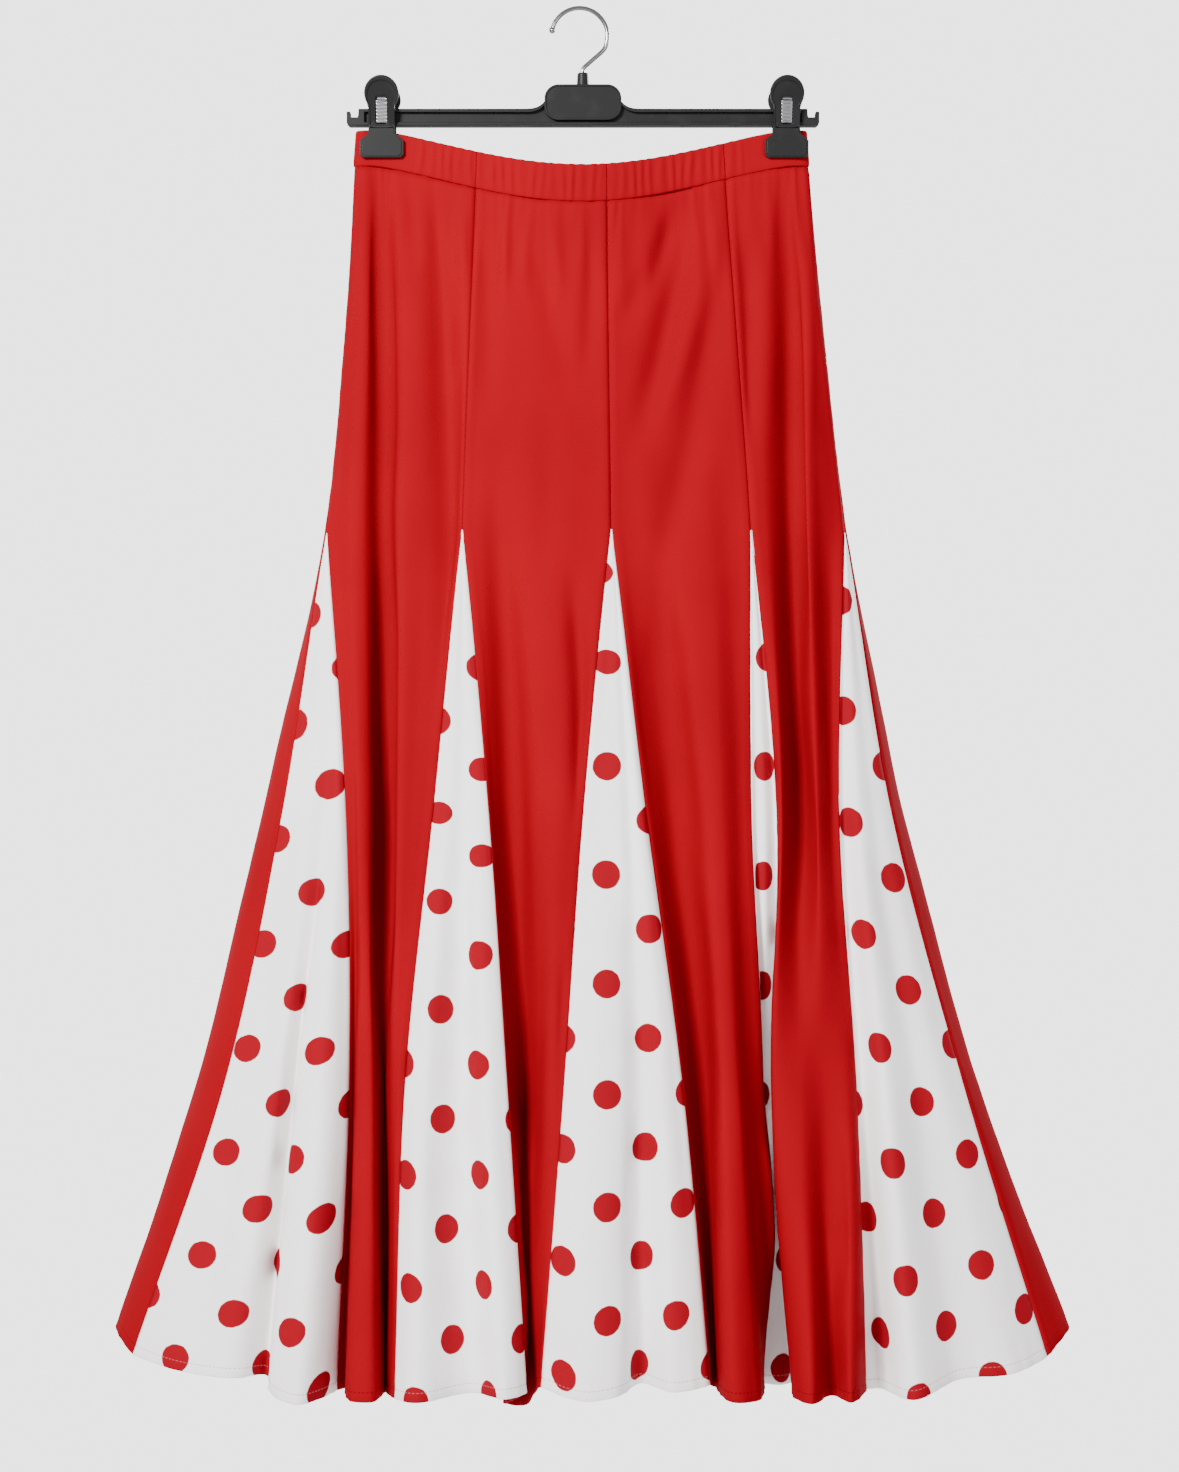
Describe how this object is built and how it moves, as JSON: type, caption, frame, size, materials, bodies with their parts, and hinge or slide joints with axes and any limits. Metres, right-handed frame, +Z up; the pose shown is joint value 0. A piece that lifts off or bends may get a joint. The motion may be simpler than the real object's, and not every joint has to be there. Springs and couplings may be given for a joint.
{
  "type": "flamenco skirt on a clip hanger",
  "caption": "Long red flamenco skirt of plain gores with white polka-dot godets and an elasticated waistband, clipped to a black plastic hanger with a chrome hook.",
  "frame": {"origin": "inner crest of the hanger's hook, where a rail or pin carries it", "axes": "+Z up along the skirt's length, +X across the front to the viewer's right, the front faces -Y"},
  "size_m": [0.7444, 0.2236, 1.0814],
  "materials": {
    "red_jersey": "matte knit with a soft sheen",
    "dotted_jersey": "matte white knit printed with red dots",
    "black_plastic": "moulded satin",
    "chrome_wire": "polished",
    "spring_steel": "ribbed bare steel"
  },
  "bodies": {
    "root": {"gore_front_left_side": "red_jersey", "gore_front_left": "red_jersey", "gore_front_right": "red_jersey", "gore_front_right_side": "red_jersey", "gore_back_right_side": "red_jersey", "gore_back_right": "red_jersey", "gore_back_left": "red_jersey", "gore_back_left_side": "red_jersey", "waistband_front_left_side": "red_jersey", "waistband_front_left": "red_jersey", "waistband_front_right": "red_jersey", "waistband_front_right_side": "red_jersey", "waistband_back_right_side": "red_jersey", "waistband_back_right": "red_jersey", "waistband_back_left": "red_jersey", "waistband_back_left_side": "red_jersey", "godet_front_left": "dotted_jersey", "godet_front_centre": "dotted_jersey", "godet_front_right": "dotted_jersey", "godet_side_right": "dotted_jersey", "godet_back_right": "dotted_jersey", "godet_back_centre": "dotted_jersey", "godet_back_left": "dotted_jersey", "godet_side_left": "dotted_jersey", "hanger_bar": "black_plastic", "hanger_hook": "chrome_wire", "clip_left_front_lever": "black_plastic", "clip_left_back_lever": "black_plastic", "clip_left_spring": "spring_steel", "clip_right_front_lever": "black_plastic", "clip_right_back_lever": "black_plastic", "clip_right_spring": "spring_steel"}
  },
  "joints": []
}
